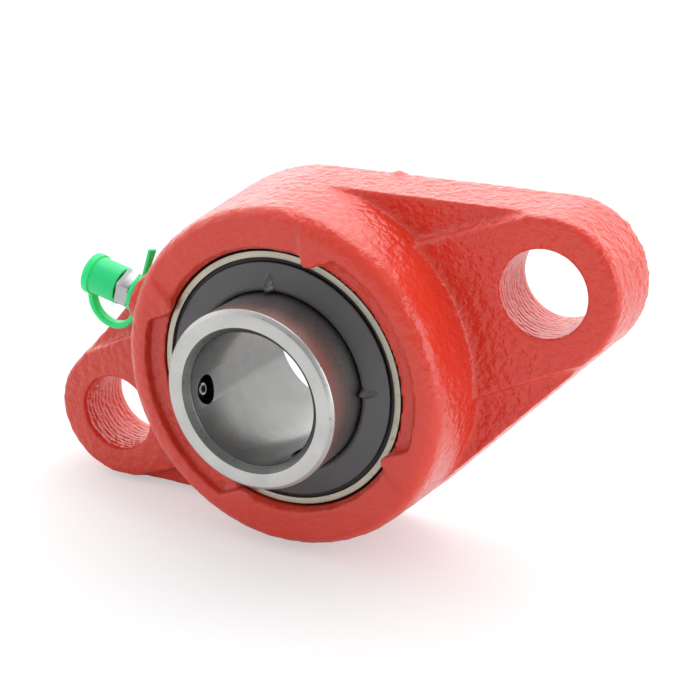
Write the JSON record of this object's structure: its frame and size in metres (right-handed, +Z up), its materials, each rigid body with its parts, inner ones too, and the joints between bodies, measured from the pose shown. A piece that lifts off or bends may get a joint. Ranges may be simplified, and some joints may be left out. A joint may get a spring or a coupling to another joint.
{
  "type": "flanged bearing unit",
  "caption": "Flanged bearing unit: a self-aligning ball insert with set screws, held in a rhombic cast housing with bolt lugs and a capped grease nipple.",
  "frame": {"origin": "centre of the bolt circle, where the shaft axis meets the plane of the mounting face", "axes": "the shaft axis runs along Y, with the nose towards -Y and the mounting face towards +Y; +Z is up with the unit standing on its lower edge, so the line through the bolt holes leans 23.5 degrees, and +X is the side of the raised lug"},
  "size_m": [0.1204, 0.0361, 0.069],
  "materials": {
    "painted_casting": "glossy red enamel over rough cast iron",
    "ground_ring_steel": "hardened bearing steel, ground",
    "turned_ring_steel": "hardened bearing steel, ground face and honed bore",
    "grey_pressed_steel": "pressed steel, dark grey satin",
    "seal_steel": "pressed steel",
    "cage_steel": "pressed steel strip",
    "ball_steel": "polished bearing steel",
    "seal_rubber": "black nitrile rubber",
    "black_oxide_steel": "black oxide",
    "zinc_plated_steel": "bright zinc plating",
    "green_polyethylene": "translucent moulded polyethylene"
  },
  "bodies": {
    "housing": {"housing": "painted_casting", "grease_nipple": "zinc_plated_steel", "nipple_spring": "cage_steel", "cap_strap": "green_polyethylene"},
    "insert": {"outer_ring": "ground_ring_steel", "seal_core_front": "seal_steel", "seal_lip_front": "seal_rubber", "seal_core_back": "seal_steel", "seal_lip_back": "seal_rubber"},
    "inner_ring": {"inner_ring": "turned_ring_steel", "flinger_front": "grey_pressed_steel", "flinger_back": "grey_pressed_steel"},
    "cage": {"cage_front": "cage_steel", "cage_back": "cage_steel", "cage_rivets": "cage_steel"},
    "ball_1": {"ball_1": "ball_steel"},
    "ball_2": {"ball_2": "ball_steel"},
    "ball_3": {"ball_3": "ball_steel"},
    "ball_4": {"ball_4": "ball_steel"},
    "ball_5": {"ball_5": "ball_steel"},
    "ball_6": {"ball_6": "ball_steel"},
    "ball_7": {"ball_7": "ball_steel"},
    "ball_8": {"ball_8": "ball_steel"},
    "ball_9": {"ball_9": "ball_steel"},
    "set_screw_1": {"set_screw_1": "black_oxide_steel"},
    "set_screw_2": {"set_screw_2": "black_oxide_steel"},
    "nipple_ball": {"nipple_ball": "ball_steel"},
    "nipple_cap": {"nipple_cap": "green_polyethylene"}
  },
  "joints": [
    {"name": "insert_swivel", "type": "hinge", "parent": "housing", "child": "insert", "pos_m": [0, -0.0163, 0], "axis": [0, 0, 1], "range_deg": [-3, 3]},
    {"name": "shaft_spin", "type": "hinge", "parent": "insert", "child": "inner_ring", "pos_m": [0, -0.0163, 0], "axis": [0, -1, 0], "continuous": true},
    {"name": "cage_orbit", "type": "hinge", "parent": "insert", "child": "cage", "pos_m": [0, -0.0163, 0], "axis": [0, -1, 0], "continuous": true},
    {"name": "ball_1_roll", "type": "hinge", "parent": "cage", "child": "ball_1", "pos_m": [0.01766, -0.0163, 0.00766], "axis": [0, -1, 0], "continuous": true},
    {"name": "ball_2_roll", "type": "hinge", "parent": "cage", "child": "ball_2", "pos_m": [0.0086, -0.0163, 0.01722], "axis": [0, -1, 0], "continuous": true},
    {"name": "ball_3_roll", "type": "hinge", "parent": "cage", "child": "ball_3", "pos_m": [-0.00448, -0.0163, 0.01872], "axis": [0, -1, 0], "continuous": true},
    {"name": "ball_4_roll", "type": "hinge", "parent": "cage", "child": "ball_4", "pos_m": [-0.01546, -0.0163, 0.01146], "axis": [0, -1, 0], "continuous": true},
    {"name": "ball_5_roll", "type": "hinge", "parent": "cage", "child": "ball_5", "pos_m": [-0.01921, -0.0163, -0.00116], "axis": [0, -1, 0], "continuous": true},
    {"name": "ball_6_roll", "type": "hinge", "parent": "cage", "child": "ball_6", "pos_m": [-0.01397, -0.0163, -0.01324], "axis": [0, -1, 0], "continuous": true},
    {"name": "ball_7_roll", "type": "hinge", "parent": "cage", "child": "ball_7", "pos_m": [-0.00219, -0.0163, -0.01912], "axis": [0, -1, 0], "continuous": true},
    {"name": "ball_8_roll", "type": "hinge", "parent": "cage", "child": "ball_8", "pos_m": [0.01061, -0.0163, -0.01606], "axis": [0, -1, 0], "continuous": true},
    {"name": "ball_9_roll", "type": "hinge", "parent": "cage", "child": "ball_9", "pos_m": [0.01845, -0.0163, -0.00548], "axis": [0, -1, 0], "continuous": true},
    {"name": "set_screw_1_travel", "type": "slide", "parent": "inner_ring", "child": "set_screw_1", "axis": [0.9873, 0, 0.1591], "range_m": [-0.003, 0.0005]},
    {"name": "set_screw_2_travel", "type": "slide", "parent": "inner_ring", "child": "set_screw_2", "axis": [-0.6314, 0, 0.7755], "range_m": [-0.003, 0.0005]},
    {"name": "check_ball_travel", "type": "slide", "parent": "housing", "child": "nipple_ball", "axis": [0.9688, 0, -0.2478], "range_m": [0, 0.0006], "stiffness_N_per_m": 60, "springref_m": -0.002, "deforming": ["nipple_spring"]},
    {"name": "cap_pull", "type": "slide", "parent": "housing", "child": "nipple_cap", "axis": [-0.9688, 0, 0.2478], "range_m": [0, 0.008], "deforming": ["cap_strap"]}
  ],
  "couplings": [
    {"joint": "cage_orbit", "follows": "shaft_spin", "ratio": 0.39691},
    {"joint": "ball_1_roll", "follows": "shaft_spin", "ratio": -2.322},
    {"joint": "ball_2_roll", "follows": "shaft_spin", "ratio": -2.322},
    {"joint": "ball_3_roll", "follows": "shaft_spin", "ratio": -2.322},
    {"joint": "ball_4_roll", "follows": "shaft_spin", "ratio": -2.322},
    {"joint": "ball_5_roll", "follows": "shaft_spin", "ratio": -2.322},
    {"joint": "ball_6_roll", "follows": "shaft_spin", "ratio": -2.322},
    {"joint": "ball_7_roll", "follows": "shaft_spin", "ratio": -2.322},
    {"joint": "ball_8_roll", "follows": "shaft_spin", "ratio": -2.322},
    {"joint": "ball_9_roll", "follows": "shaft_spin", "ratio": -2.322}
  ]
}
